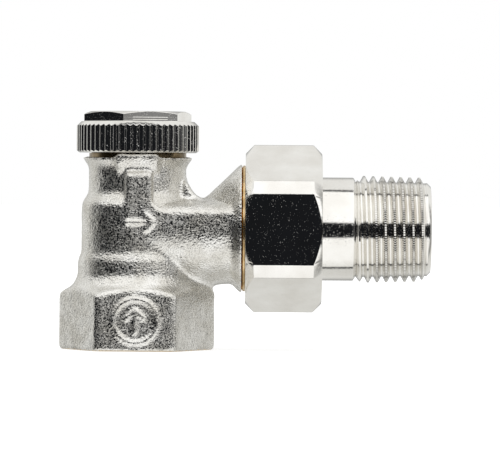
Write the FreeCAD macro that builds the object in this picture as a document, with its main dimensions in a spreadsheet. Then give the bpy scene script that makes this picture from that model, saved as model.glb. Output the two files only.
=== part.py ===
import FreeCAD, Part
import os
from types import SimpleNamespace

import Sketcher

# Angle-pattern lockshield radiator valve, DN15. Origin: centre of the inlet mouth, on the spindle
# axis. +Z runs up the spindle to the screw cap, +X runs out along the union to the radiator.
# Heights are measured up from the inlet mouth, reaches out from the spindle axis along +X.
DIMENSIONS = {
    # Inlet hexagon with its female pipe thread
    "base_flats": 27.0,
    "base_height": 13.0,
    "base_corner_top": 10.2,
    "socket_radius": 9.316,
    "socket_mouth_radius": 10.6,
    "socket_mouth_depth": 0.4,
    "socket_depth": 13.0,
    # Cast outer shape about the spindle axis
    "shoulder_radius": 12.3,
    "waist_radius": 11.66,
    "chest_radius": 11.0,
    "neck_radius": 9.6,
    "lip_radius": 10.8,
    "shoulder_top": 13.8,
    "waist_top": 17.8,
    "chest_base": 19.4,
    "chest_top": 28.4,
    "neck_base": 30.7,
    "neck_top": 36.2,
    "lip_height": 38.0,
    "bar_width": 4.8,
    "bar_top": 35.2,
    "lug_width": 8.0,
    "lug_top": 38.6,
    # Machined neck that the cap screws on
    "neck_land_radius": 10.1,
    "neck_land_top": 38.8,
    "neck_thread_radius": 10.0,
    "neck_end": 43.3,
    # Cast branch and the machined union thread at its end
    "outlet_height": 24.0,
    "branch_radius": 11.0,
    "branch_reach": 19.4,
    "saddle_half_width": 8.0,
    "saddle_rise": 5.8,
    "flange_foot_reach": 13.0,
    "flange_foot_radius": 5.6,
    "flange_rim_reach": 19.6,
    "flange_radius": 12.2,
    "flange_face": 20.7,
    "union_thread_radius": 12.45,
    "union_thread_end": 28.5,
    # Waterways inside the body
    "seat_bore_radius": 5.0,
    "seat_floor": 16.0,
    "seat_ridge_radius": 6.5,
    "seat_ridge_inner": 5.9,
    "seat_height": 17.0,
    "chamber_radius": 8.4,
    "chamber_shoulder": 28.4,
    "chamber_top": 30.6,
    "insert_nose_bore": 6.95,
    "insert_shoulder": 34.5,
    "insert_thread_bore": 7.5,
    "throat_radius": 4.4,
    "throat_end": 16.0,
    "outlet_radius": 6.6,
    "outlet_start": 17.4,
    "nose_bore_radius": 9.3,
    "nose_bore_reach": 25.5,
    # Bonnet insert with its seal and its retaining ring
    "insert_radius": 7.45,
    "insert_nose_radius": 6.9,
    "insert_nose_end": 29.6,
    "insert_top": 43.8,
    "insert_smooth_bore": 5.0,
    "insert_smooth_top": 36.5,
    "insert_screw_bore": 5.5,
    "ring_groove_radius": 6.0,
    "ring_groove_base": 42.5,
    "ring_thickness": 0.6,
    "ring_inner_radius": 4.7,
    "ring_outer_radius": 5.9,
    "ring_gap": 3.0,
    # Shut-off spindle and cone
    "spindle_stem_radius": 4.95,
    "spindle_thread_radius": 5.45,
    "spindle_thread_base": 36.6,
    "spindle_thread_top": 39.4,
    "spindle_head_radius": 4.4,
    "spindle_top": 41.2,
    "spindle_key_flats": 6.0,
    "spindle_key_depth": 5.3,
    "spindle_bore_radius": 3.0,
    "spindle_guide_radius": 2.3,
    "spindle_guide_top": 26.15,
    "spindle_spigot_radius": 3.88,
    "cone_radius": 7.6,
    "cone_base": 17.3,
    "cone_rim_top": 22.4,
    "cone_hub_radius": 6.0,
    "cone_hub_top": 24.0,
    "cone_hub_bore": 3.9,
    "cone_recess_radius": 4.95,
    "cone_recess_top": 21.2,
    "seal_inner_radius": 5.5,
    "seal_outer_radius": 7.0,
    "seal_base": 17.02,
    "seal_top": 18.6,
    # Presetting screw and throttle plug
    "preset_radius": 2.9,
    "preset_land_base": 26.2,
    "preset_top": 33.5,
    "preset_stem_radius": 2.2,
    "preset_spigot_radius": 1.58,
    "preset_slot_width": 1.0,
    "preset_slot_depth": 1.2,
    "plug_radius": 4.8,
    "plug_tip_radius": 3.6,
    "plug_base": 13.8,
    "plug_shoulder": 15.4,
    "plug_top": 16.9,
    "plug_bore": 1.6,
    # Screw cap and its gasket
    "cap_base": 38.85,
    "cap_foot_radius": 11.6,
    "cap_radius": 12.1,
    "cap_knurl_base": 39.3,
    "cap_knurl_top": 44.1,
    "cap_shoulder_radius": 11.2,
    "cap_shoulder_top": 45.0,
    "cap_top": 47.0,
    "cap_flats": 19.0,
    "cap_hex_turn": 16.25,
    "cap_hex_crown_radius": 9.3,
    "cap_thread_bore": 10.05,
    "cap_gasket_seat": 44.35,
    "cap_gasket_recess": 10.25,
    "cap_pocket_radius": 7.3,
    "cap_pocket_top": 44.95,
    "knurl_depth": 0.45,
    "knurl_count": 60.0,
    "gasket_inner_radius": 7.9,
    "gasket_outer_radius": 10.0,
    "gasket_base": 43.32,
    "gasket_top": 44.33,
    # Union nut
    "nut_start": 21.4,
    "nut_end": 36.5,
    "nut_flats": 30.0,
    "nut_corner_radius": 16.65,
    "nut_face_radius": 14.85,
    "nut_thread_bore": 12.5,
    "nut_shoulder": 32.0,
    "nut_hole_radius": 10.6,
    # Tailpiece with its tapered-style male pipe thread cut as parallel rings
    "tail_nose_start": 25.7,
    "tail_nose_radius": 9.22,
    "tail_collar_start": 28.7,
    "tail_collar_end": 31.9,
    "tail_collar_radius": 11.9,
    "tail_radius": 10.2,
    "tail_bore_radius": 7.5,
    "tail_thread_start": 42.9,
    "tail_first_crest": 44.81,
    "thread_pitch": 1.814,
    "thread_crest_radius": 10.45,
    "thread_root_radius": 9.316,
    "thread_crest_width": 0.36,
    "thread_root_width": 0.3,
    "tail_tip_radius": 9.2,
    "tail_end": 58.0,
    "tail_end_chamfer": 0.7,
    "key_lug_width": 2.4,
    "key_lug_height": 1.1,
    "key_lug_start": 45.0,
    "key_lug_end": 56.0,
    # Rubber rings: the section radius, and the radius and height or reach of the section's centre
    "bonnet_ring_section": 0.58,
    "bonnet_ring_centre": 6.3,
    "bonnet_ring_height": 33.1,
    "spindle_ring_section": 0.58,
    "spindle_ring_centre": 4.38,
    "spindle_ring_lower_height": 31.0,
    "spindle_ring_upper_height": 33.0,
    "preset_ring_section": 0.5,
    "preset_ring_centre": 2.46,
    "preset_ring_height": 27.7,
    "tail_ring_section": 0.55,
    "tail_ring_centre": 8.7,
    "tail_ring_reach": 27.1,
    "ring_room": 0.04,
}

TAIL_CRESTS = 7
HEX_CORNER = 2 / 3**0.5  # corner radius of a hexagon for each unit of its inscribed radius


class Size:
    """A length worked out from sheet cells: its value now, and the expression that binds it."""

    def __init__(self, value, text):
        self.value = value
        self.text = text

    def __add__(self, other):
        other = as_size(other)
        return Size(self.value + other.value, f"({self.text} + {other.text})")

    def __sub__(self, other):
        other = as_size(other)
        return Size(self.value - other.value, f"({self.text} - {other.text})")

    def __mul__(self, factor):
        return Size(self.value * factor, f"({self.text} * {factor})")

    def __neg__(self):
        return self * -1


def as_size(thing):
    return thing if isinstance(thing, Size) else Size(float(thing), repr(float(thing)))


def dimension_sheet(document):
    """Fill the sheet with the driving dimensions and return a named Size for each."""
    sheet = document.addObject("Spreadsheet::Sheet", "Dims")
    for row, (name, value) in enumerate(DIMENSIONS.items(), start=1):
        sheet.set(f"A{row}", name)
        sheet.set(f"B{row}", str(value))
        sheet.setAlias(f"B{row}", name)
    document.recompute()
    return SimpleNamespace(**{name: Size(sheet.get(name), f"Dims.{name}") for name in DIMENSIONS})


doc = FreeCAD.newDocument("lockshield_valve")
d = dimension_sheet(doc)


def bind(feature, **sizes):
    """Bind properties of a feature to sizes; a double underscore in a name stands for a dot."""
    for name, size in sizes.items():
        feature.setExpression(name.replace("__", "."), as_size(size).text)


def attach(feature, body, role, across=0, along=0, lift=0, turn=0):
    """Attach a feature to an origin plane of its own body, shifted in that plane and off it."""
    plane = next(item for item in body.Origin.OriginFeatures if item.Role == role)
    feature.AttachmentSupport = (plane, [""])
    feature.MapMode = "FlatFace"
    rotation = FreeCAD.Rotation(FreeCAD.Vector(0, 0, 1), turn)
    feature.AttachmentOffset = FreeCAD.Placement(FreeCAD.Vector(), rotation)
    bind(
        feature,
        AttachmentOffset__Base__x=across,
        AttachmentOffset__Base__y=along,
        AttachmentOffset__Base__z=lift,
    )


def outline(body, name, corners, role="XZ_Plane", **shift):
    """A sketch of one closed polygon whose corners all stay bound to the sheet."""
    sketch = body.newObject("Sketcher::SketchObject", name)
    attach(sketch, body, role, **shift)
    corners = [(as_size(across), as_size(up)) for across, up in corners]
    points = [FreeCAD.Vector(across.value, up.value, 0) for across, up in corners]
    for start, end in zip(points, points[1:] + points[:1]):
        sketch.addGeometry(Part.LineSegment(start, end))
    for corner in range(len(points)):
        after = (corner + 1) % len(points)
        sketch.addConstraint(Sketcher.Constraint("Coincident", corner, 2, after, 1))
    for corner, (across, up) in enumerate(corners):
        hold_corner(sketch, corner, "DistanceX", across, -2)
        hold_corner(sketch, corner, "DistanceY", up, -1)
    return sketch


def hold_corner(sketch, corner, direction, size, zero_axis):
    """Fix one coordinate of a corner, on the sketch's own axis where the coordinate is zero."""
    if size.value == 0:
        sketch.addConstraint(Sketcher.Constraint("PointOnObject", corner, 1, zero_axis))
        return
    distance = Sketcher.Constraint(direction, -1, 1, corner, 1, size.value)
    index = sketch.addConstraint(distance)
    sketch.setExpression(f"Constraints[{index}]", size.text)


def new_body(label):
    body = doc.addObject("PartDesign::Body", label)
    body.Label = label
    return body


def turn_profile(body, name, corners, axis, kind="Revolution", **shift):
    """Add or cut the solid that a closed outline sweeps about one axis of its sketch."""
    sketch = outline(body, f"{name}_outline", corners, **shift)
    feature = body.newObject(f"PartDesign::{kind}", name)
    feature.Profile = sketch
    feature.ReferenceAxis = (sketch, [axis])
    feature.Angle = 360
    doc.recompute()
    return feature


def turned(label, corners):
    """A body turned about the spindle axis from (radius, height) corners."""
    body = new_body(label)
    turn_profile(body, f"{label}_turning", corners, "V_Axis")
    return body


def turned_on_outlet(label, corners):
    """A body turned about the outlet axis from (reach, radius) corners."""
    body = new_body(label)
    turn_profile(body, f"{label}_turning", corners, "H_Axis")
    bind(body, Placement__Base__z=d.outlet_height)
    return body


def prism(body, name, flats, height, role, kind="Additive", **shift):
    """Add or cut a hexagonal prism, given its width across flats."""
    feature = body.newObject(f"PartDesign::{kind}Prism", name)
    feature.Polygon = 6
    bind(feature, Circumradius=flats * (HEX_CORNER / 2), Height=height)
    attach(feature, body, role, **shift)
    doc.recompute()


def block(body, name, length, width, height, kind="Additive", **shift):
    """Add or cut a box that stands on the XY plane and is centred across Y."""
    feature = body.newObject(f"PartDesign::{kind}Box", name)
    bind(feature, Length=length, Width=width, Height=height)
    attach(feature, body, "XY_Plane", along=as_size(width) * -0.5, **shift)
    doc.recompute()


def rubber_ring(label, section, centre, place, on_outlet=False):
    """An O-ring about the spindle axis, or about the outlet axis."""
    ring = doc.addObject("Part::Torus", label)
    ring.Label = label
    bind(ring, Radius1=centre, Radius2=section)
    if on_outlet:
        ring.Placement.Rotation = FreeCAD.Rotation(FreeCAD.Vector(0, 1, 0), 90)
        bind(ring, Placement__Base__x=place, Placement__Base__z=d.outlet_height)
    else:
        bind(ring, Placement__Base__z=place)
    return ring


def ring_groove(body, name, centre, section, place, depth_to, axis="V_Axis"):
    """Cut the groove that holds an O-ring, open towards the given radius."""
    floor = centre - section - d.ring_room
    half = section + d.ring_room * 2
    low = as_size(place) - half
    high = as_size(place) + half
    if axis == "V_Axis":
        corners = [(floor, low), (depth_to, low), (depth_to, high), (floor, high)]
    else:
        corners = [(low, floor), (high, floor), (high, depth_to), (low, depth_to)]
    turn_profile(body, name, corners, axis, kind="Groove")


def valve_body():
    """The casting: hexagonal inlet, chest, neck, branch, and the bores machined into it."""
    body = new_body("valve_body")
    prism(body, "inlet_hexagon", d.base_flats, d.base_height, "XY_Plane")
    outside = d.base_flats
    shoulder = [
        (outside * 0.5 + 2, d.base_corner_top - 0.6),
        (outside * (HEX_CORNER / 2), d.base_corner_top - 0.2),
        (outside * (HEX_CORNER / 2) - 0.5, d.base_corner_top + 1),
        (outside * 0.5 + 0.7, d.base_corner_top + 1.9),
        (d.shoulder_radius + 0.65, d.base_corner_top + 2.6),
        (d.shoulder_radius, d.base_height + 1),
        (outside * 0.5 + 5, d.base_height + 1),
        (outside * 0.5 + 5, d.base_corner_top - 0.6),
    ]
    turn_profile(body, "shoulder_rounding", shoulder, "V_Axis", kind="Groove")
    foot = [
        (outside * (HEX_CORNER / 2) - 0.9, 0),
        (outside, 0),
        (outside, 1.2),
        (outside * (HEX_CORNER / 2) + 0.3, 1.2),
    ]
    turn_profile(body, "foot_chamfer", foot, "V_Axis", kind="Groove")
    casting = [
        (0, 1),
        (d.shoulder_radius, 1),
        (d.shoulder_radius + 1.2, d.base_height - 0.5),
        (d.shoulder_radius, d.shoulder_top),
        (d.waist_radius + 0.3, d.shoulder_top + 0.6),
        (d.waist_radius, d.waist_top),
        (d.chest_radius, d.chest_base),
        (d.chest_radius, d.chest_top),
        (d.chest_radius - 0.4, d.chest_top + 0.9),
        (d.neck_radius, d.neck_base),
        (d.neck_radius, d.neck_top),
        (d.lip_radius - 0.4, d.lip_height - 0.3),
        (d.lip_radius, d.lip_height),
        (d.neck_land_radius, d.lip_height),
        (d.neck_land_radius, d.neck_land_top),
        (d.neck_thread_radius, d.neck_land_top),
        (d.neck_thread_radius, d.neck_end - 0.5),
        (d.neck_thread_radius - 0.5, d.neck_end),
        (0, d.neck_end),
    ]
    turn_profile(body, "chest_and_neck", casting, "V_Axis")
    branch(body)
    front_relief(body)
    body_bores(body)
    return body


def branch(body):
    """The branch: round underneath, flat-fronted above, with a conical flange and the thread."""
    lower = body.newObject("PartDesign::AdditiveCylinder", "branch_underside")
    lower.Angle = 180
    bind(lower, Radius=d.branch_radius, Height=d.branch_reach)
    attach(lower, body, "YZ_Plane", along=d.outlet_height, turn=180)
    doc.recompute()
    half = d.branch_radius
    axis = d.outlet_height
    band = [
        (-half, axis),
        (-half, axis + d.saddle_rise - 2.4),
        (-half + 1.1, axis + d.saddle_rise - 1.3),
        (-d.saddle_half_width, axis + d.saddle_rise - 0.6),
        (-d.saddle_half_width * 0.6, axis + d.saddle_rise),
        (d.saddle_half_width * 0.6, axis + d.saddle_rise),
        (d.saddle_half_width, axis + d.saddle_rise - 0.6),
        (half - 1.1, axis + d.saddle_rise - 1.3),
        (half, axis + d.saddle_rise - 2.4),
        (half, axis),
    ]
    saddle = body.newObject("PartDesign::Pad", "branch_saddle")
    saddle.Profile = outline(body, "saddle_outline", band, role="YZ_Plane")
    bind(saddle, Length=d.branch_reach)
    doc.recompute()
    flange = [
        (d.flange_foot_reach, 0),
        (d.flange_foot_reach, d.flange_foot_radius),
        (d.flange_rim_reach, d.flange_radius),
        (d.flange_face, d.flange_radius),
        (d.flange_face, d.union_thread_radius - 0.5),
        (d.flange_face + 0.3, d.union_thread_radius),
        (d.union_thread_end - 0.6, d.union_thread_radius),
        (d.union_thread_end, d.union_thread_radius - 0.6),
        (d.union_thread_end, 0),
    ]
    turn_profile(body, "flange_and_thread", flange, "H_Axis", along=d.outlet_height)


def front_relief(body):
    """The upright bar on the neck and the low lug on its lip, alike on both faces."""
    depth = d.branch_radius * 2
    bar_base = d.outlet_height
    block(
        body,
        "upright_bar",
        d.bar_width,
        depth,
        d.bar_top - bar_base,
        across=d.bar_width * -0.5,
        lift=bar_base,
    )
    block(
        body,
        "lip_lug",
        d.lug_width,
        d.lip_radius * 1.86,
        d.lug_top - d.neck_top,
        across=d.lug_width * -0.5,
        lift=d.neck_top,
    )
    cut_back = [
        (d.neck_land_radius, d.lug_top),
        (d.lip_radius + 2, d.lug_top),
        (d.lip_radius + 2, d.neck_end),
        (d.neck_land_radius, d.neck_end),
    ]
    turn_profile(body, "lug_facing", cut_back, "V_Axis", kind="Groove")


def body_bores(body):
    """Everything machined from below, from above and from the branch."""
    waterway = [
        (0, 0),
        (d.socket_mouth_radius, 0),
        (d.socket_radius, d.socket_mouth_depth),
        (d.socket_radius, d.socket_depth),
        (d.seat_bore_radius, d.socket_depth),
        (d.seat_bore_radius, d.seat_height - 0.2),
        (d.seat_ridge_inner, d.seat_height),
        (d.seat_ridge_radius, d.seat_height),
        (d.seat_ridge_radius + 0.4, d.seat_floor),
        (d.chamber_radius, d.seat_floor),
        (d.chamber_radius, d.chamber_shoulder),
        (d.insert_nose_bore, d.chamber_top),
        (d.insert_nose_bore, d.insert_shoulder),
        (d.insert_thread_bore, d.insert_shoulder),
        (d.insert_thread_bore, d.neck_end),
        (0, d.neck_end),
    ]
    turn_profile(body, "spindle_bores", waterway, "V_Axis", kind="Groove")
    outlet = [
        (0, 0),
        (0, d.throat_radius),
        (d.throat_end, d.throat_radius),
        (d.outlet_start, d.outlet_radius),
        (d.nose_bore_reach, d.outlet_radius),
        (d.nose_bore_reach, d.nose_bore_radius),
        (d.union_thread_end - 0.4, d.nose_bore_radius),
        (d.union_thread_end, d.nose_bore_radius + 0.4),
        (d.union_thread_end, 0),
    ]
    turn_profile(body, "outlet_bores", outlet, "H_Axis", kind="Groove", along=d.outlet_height)


def bonnet_insert():
    """The threaded bush that guides the spindle, with grooves for its seal and its snap ring."""
    ring_top = d.ring_groove_base + d.ring_thickness + 0.1
    body = turned(
        "bonnet_insert",
        [
            (d.insert_smooth_bore, d.insert_nose_end),
            (d.insert_nose_radius, d.insert_nose_end),
            (d.insert_nose_radius, d.insert_shoulder),
            (d.insert_radius, d.insert_shoulder),
            (d.insert_radius, d.insert_top - 0.3),
            (d.insert_radius - 0.3, d.insert_top),
            (d.spindle_thread_radius, d.insert_top),
            (d.spindle_thread_radius, ring_top),
            (d.ring_groove_radius, ring_top),
            (d.ring_groove_radius, d.ring_groove_base),
            (d.insert_screw_bore, d.ring_groove_base),
            (d.insert_screw_bore, d.insert_smooth_top),
            (d.insert_smooth_bore, d.insert_smooth_top),
        ],
    )
    ring_groove(
        body,
        "seal_groove",
        d.bonnet_ring_centre,
        d.bonnet_ring_section,
        d.bonnet_ring_height,
        d.insert_nose_radius + 0.5,
    )


def retaining_ring():
    """The open snap ring that stops the spindle at the top of its travel."""
    base = d.ring_groove_base + 0.05
    body = turned(
        "spindle_retaining_ring",
        [
            (d.ring_inner_radius, base),
            (d.ring_outer_radius, base),
            (d.ring_outer_radius, base + d.ring_thickness),
            (d.ring_inner_radius, base + d.ring_thickness),
        ],
    )
    block(body, "ring_opening", 8, d.ring_gap, 3, kind="Subtractive", lift=base - 1)


def shutoff_spindle():
    """The hollow spindle: a key socket on top, its thread, two ring grooves and a spigot."""
    key_floor = d.spindle_top - d.spindle_key_depth
    body = turned(
        "shutoff_spindle",
        [
            (d.spindle_guide_radius, d.cone_recess_top),
            (d.spindle_spigot_radius, d.cone_recess_top),
            (d.spindle_spigot_radius, d.cone_hub_top),
            (d.spindle_stem_radius, d.cone_hub_top),
            (d.spindle_stem_radius, d.spindle_thread_base),
            (d.spindle_thread_radius, d.spindle_thread_base),
            (d.spindle_thread_radius, d.spindle_thread_top),
            (d.spindle_head_radius, d.spindle_thread_top),
            (d.spindle_head_radius, d.spindle_top - 0.3),
            (d.spindle_head_radius - 0.3, d.spindle_top),
            (d.spindle_bore_radius, d.spindle_top),
            (d.spindle_bore_radius, d.spindle_guide_top),
            (d.spindle_guide_radius, d.spindle_guide_top),
        ],
    )
    prism(
        body,
        "key_socket",
        d.spindle_key_flats,
        d.spindle_key_depth + 1,
        "XY_Plane",
        kind="Subtractive",
        lift=key_floor,
    )
    for name, height in (
        ("lower_ring_groove", d.spindle_ring_lower_height),
        ("upper_ring_groove", d.spindle_ring_upper_height),
    ):
        ring_groove(
            body,
            name,
            d.spindle_ring_centre,
            d.spindle_ring_section,
            height,
            d.spindle_stem_radius + 0.5,
        )


def shutoff_cone():
    """The cup pressed on the spindle: it carries the seat seal and clears the throttle plug."""
    turned(
        "shutoff_cone",
        [
            (d.cone_recess_radius, d.cone_base),
            (d.seal_inner_radius - 0.02, d.cone_base),
            (d.seal_inner_radius - 0.02, d.seal_top + 0.02),
            (d.seal_outer_radius + 0.02, d.seal_top + 0.02),
            (d.seal_outer_radius + 0.02, d.cone_base),
            (d.cone_radius, d.cone_base),
            (d.cone_radius, d.cone_rim_top),
            (d.cone_hub_radius, d.cone_rim_top + 0.4),
            (d.cone_hub_radius, d.cone_hub_top),
            (d.cone_hub_bore, d.cone_hub_top),
            (d.cone_hub_bore, d.cone_recess_top),
            (d.cone_recess_radius, d.cone_recess_top),
        ],
    )


def seat_seal():
    """The flat rubber ring that closes on the seat."""
    turned(
        "seat_seal",
        [
            (d.seal_inner_radius, d.seal_base),
            (d.seal_outer_radius, d.seal_base),
            (d.seal_outer_radius, d.seal_top),
            (d.seal_inner_radius, d.seal_top),
        ],
    )


def presetting_screw():
    """The slotted screw inside the spindle that sets how far the throttle plug stands down."""
    body = turned(
        "presetting_screw",
        [
            (0, d.plug_base + 0.6),
            (d.preset_spigot_radius, d.plug_base + 0.6),
            (d.preset_spigot_radius, d.plug_top),
            (d.preset_stem_radius, d.plug_top),
            (d.preset_stem_radius, d.preset_land_base),
            (d.preset_radius, d.preset_land_base),
            (d.preset_radius, d.preset_top - 0.3),
            (d.preset_radius - 0.3, d.preset_top),
            (0, d.preset_top),
        ],
    )
    ring_groove(
        body,
        "preset_ring_groove",
        d.preset_ring_centre,
        d.preset_ring_section,
        d.preset_ring_height,
        d.preset_radius + 0.5,
    )
    block(
        body,
        "driver_slot",
        8,
        d.preset_slot_width,
        d.preset_slot_depth + 1,
        kind="Subtractive",
        across=-4,
        lift=d.preset_top - d.preset_slot_depth,
    )


def throttle_plug():
    """The plug pressed on the presetting screw; it throttles inside the seat bore."""
    turned(
        "throttle_plug",
        [
            (d.plug_bore, d.plug_base),
            (d.plug_tip_radius, d.plug_base),
            (d.plug_radius, d.plug_shoulder),
            (d.plug_radius, d.plug_top),
            (d.plug_bore, d.plug_top),
        ],
    )


def screw_cap():
    """The closing cap: knurled rim, hexagon on top, thread and gasket seat inside."""
    body = turned(
        "screw_cap",
        [
            (d.cap_thread_bore, d.cap_base),
            (d.cap_foot_radius, d.cap_base),
            (d.cap_radius, d.cap_knurl_base),
            (d.cap_radius, d.cap_knurl_top),
            (d.cap_shoulder_radius, d.cap_shoulder_top),
            (0, d.cap_shoulder_top),
            (0, d.cap_pocket_top),
            (d.cap_pocket_radius, d.cap_pocket_top),
            (d.cap_pocket_radius, d.cap_gasket_seat),
            (d.cap_gasket_recess, d.cap_gasket_seat),
            (d.cap_gasket_recess, d.gasket_base - 0.3),
            (d.cap_thread_bore, d.gasket_base - 0.3),
        ],
    )
    knurl(body)
    prism(
        body,
        "cap_hexagon",
        d.cap_flats,
        d.cap_top - d.cap_shoulder_top,
        "XY_Plane",
        lift=d.cap_shoulder_top,
        turn=DIMENSIONS["cap_hex_turn"],
    )
    crown = [
        (d.cap_hex_crown_radius, d.cap_top),
        (d.cap_radius, d.cap_top - 0.9),
        (d.cap_radius, d.cap_top + 1),
        (d.cap_hex_crown_radius, d.cap_top + 1),
    ]
    turn_profile(body, "crown_chamfer", crown, "V_Axis", kind="Groove")


def knurl(body):
    """Straight V grooves all round the rim of the cap."""
    half = d.knurl_depth * 0.9
    sketch = outline(
        body,
        "knurl_outline",
        [
            (d.cap_radius - d.knurl_depth, 0),
            (d.cap_radius + 0.2, -half),
            (d.cap_radius + 0.2, half),
        ],
        role="XY_Plane",
        lift=d.cap_knurl_base,
    )
    groove = body.newObject("PartDesign::Pocket", "knurl_groove")
    groove.Profile = sketch
    groove.Reversed = True
    bind(groove, Length=d.cap_knurl_top - d.cap_knurl_base)
    doc.recompute()
    pattern = body.newObject("PartDesign::PolarPattern", "knurl_pattern")
    pattern.Originals = [groove]
    pattern.Axis = (sketch, ["N_Axis"])
    pattern.Angle = 360
    bind(pattern, Occurrences=d.knurl_count)
    body.Tip = pattern
    doc.recompute()


def cap_gasket():
    """The flat ring between the cap and the end of the neck."""
    turned(
        "cap_gasket",
        [
            (d.gasket_inner_radius, d.gasket_base),
            (d.gasket_outer_radius, d.gasket_base),
            (d.gasket_outer_radius, d.gasket_top),
            (d.gasket_inner_radius, d.gasket_top),
        ],
    )


def union_nut():
    """The hexagon nut that draws the tailpiece against the branch."""
    body = new_body("union_nut")
    length = d.nut_end - d.nut_start
    prism(body, "nut_hexagon", d.nut_flats, length, "YZ_Plane", lift=d.nut_start, turn=30)
    chamfer = d.nut_corner_radius - d.nut_face_radius
    outside = [
        (d.nut_start, d.nut_face_radius),
        (d.nut_start + chamfer, d.nut_corner_radius),
        (d.nut_end - chamfer, d.nut_corner_radius),
        (d.nut_end, d.nut_face_radius),
        (d.nut_end, d.nut_flats),
        (d.nut_start, d.nut_flats),
    ]
    turn_profile(body, "nut_turning", outside, "H_Axis", kind="Groove")
    bore = [
        (d.nut_start, 0),
        (d.nut_start, d.nut_thread_bore + 0.5),
        (d.nut_start + 0.5, d.nut_thread_bore),
        (d.nut_shoulder, d.nut_thread_bore),
        (d.nut_shoulder, d.nut_hole_radius),
        (d.nut_end, d.nut_hole_radius),
        (d.nut_end, 0),
    ]
    turn_profile(body, "nut_bores", bore, "H_Axis", kind="Groove")
    bind(body, Placement__Base__z=d.outlet_height)


def tailpiece():
    """The tube with the sealing nose, the collar, the male pipe thread and the key lugs."""
    half_crest = d.thread_crest_width * 0.5
    half_gap = d.thread_root_width * 0.5
    half_pitch = d.thread_pitch * 0.5
    corners = [
        (d.tail_nose_start, d.tail_bore_radius),
        (d.tail_nose_start, d.tail_nose_radius - 0.5),
        (d.tail_nose_start + 0.5, d.tail_nose_radius),
        (d.tail_collar_start, d.tail_nose_radius),
        (d.tail_collar_start, d.tail_collar_radius),
        (d.tail_collar_end, d.tail_collar_radius),
        (d.tail_collar_end, d.tail_radius),
        (d.tail_thread_start - 0.25, d.tail_radius),
        (d.tail_thread_start + 0.35, d.thread_root_radius),
    ]
    for turn in range(TAIL_CRESTS):
        crest = d.tail_first_crest + d.thread_pitch * turn
        corners += [
            (crest - half_pitch + half_gap, d.thread_root_radius),
            (crest - half_crest, d.thread_crest_radius),
            (crest + half_crest, d.thread_crest_radius),
            (crest + half_pitch - half_gap, d.thread_root_radius),
        ]
    corners += [
        (d.tail_end - d.tail_end_chamfer, d.tail_tip_radius),
        (d.tail_end, d.tail_tip_radius - d.tail_end_chamfer),
        (d.tail_end, d.tail_bore_radius + 0.4),
        (d.tail_end - 0.4, d.tail_bore_radius),
    ]
    body = turned_on_outlet("tailpiece", corners)
    ring_groove(
        body,
        "nose_ring_groove",
        d.tail_ring_centre,
        d.tail_ring_section,
        d.tail_ring_reach,
        d.tail_nose_radius + 0.5,
        axis="H_Axis",
    )
    wall_overlap = 0.6
    for name, side in (("front_key_lug", -1), ("back_key_lug", 1)):
        lug = body.newObject("PartDesign::AdditiveBox", name)
        inner = d.tail_bore_radius - d.key_lug_height
        edge = inner if side > 0 else -(d.tail_bore_radius + wall_overlap)
        bind(
            lug,
            Length=d.key_lug_height + wall_overlap,
            Width=d.key_lug_width,
            Height=d.key_lug_end - d.key_lug_start,
        )
        attach(
            lug,
            body,
            "YZ_Plane",
            across=edge,
            along=d.key_lug_width * -0.5,
            lift=d.key_lug_start,
        )
        doc.recompute()


def rubber_rings():
    """The O-rings: at the insert, on the spindle, on the presetting screw and on the tailpiece."""
    rubber_ring("bonnet_o_ring", d.bonnet_ring_section, d.bonnet_ring_centre, d.bonnet_ring_height)
    for label, height in (
        ("spindle_o_ring_lower", d.spindle_ring_lower_height),
        ("spindle_o_ring_upper", d.spindle_ring_upper_height),
    ):
        rubber_ring(label, d.spindle_ring_section, d.spindle_ring_centre, height)
    rubber_ring(
        "presetting_o_ring", d.preset_ring_section, d.preset_ring_centre, d.preset_ring_height
    )
    rubber_ring("tail_o_ring", d.tail_ring_section, d.tail_ring_centre, d.tail_ring_reach, True)


def check_objects():
    """Stop if any feature failed, or if a sub-part is empty or not a valid solid."""
    doc.recompute()
    for item in doc.Objects:
        if {"Invalid", "Error"} & set(item.State):
            raise RuntimeError(f"{item.Label} failed: {item.State}")
    kinds = ("PartDesign::Body", "Part::Torus")
    parts = [item for item in doc.Objects if item.TypeId in kinds]
    for item in parts:
        if item.Shape.isNull() or not item.Shape.isValid() or len(item.Shape.Solids) != 1:
            raise RuntimeError(f"{item.Label} isn't one valid solid")
    return parts


valve_body()
bonnet_insert()
retaining_ring()
shutoff_spindle()
shutoff_cone()
seat_seal()
presetting_screw()
throttle_plug()
screw_cap()
cap_gasket()
union_nut()
tailpiece()
rubber_rings()

os.makedirs("parts", exist_ok=True)
for part in check_objects():
    part.Shape.exportStep(f"parts/{part.Label}.step")
    print(f"{part.Label}: {part.Shape.Volume:.1f} mm3")
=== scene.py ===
import math

import bmesh
import bpy
import numpy as np
import openvdb
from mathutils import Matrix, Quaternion, Vector, noise


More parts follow.
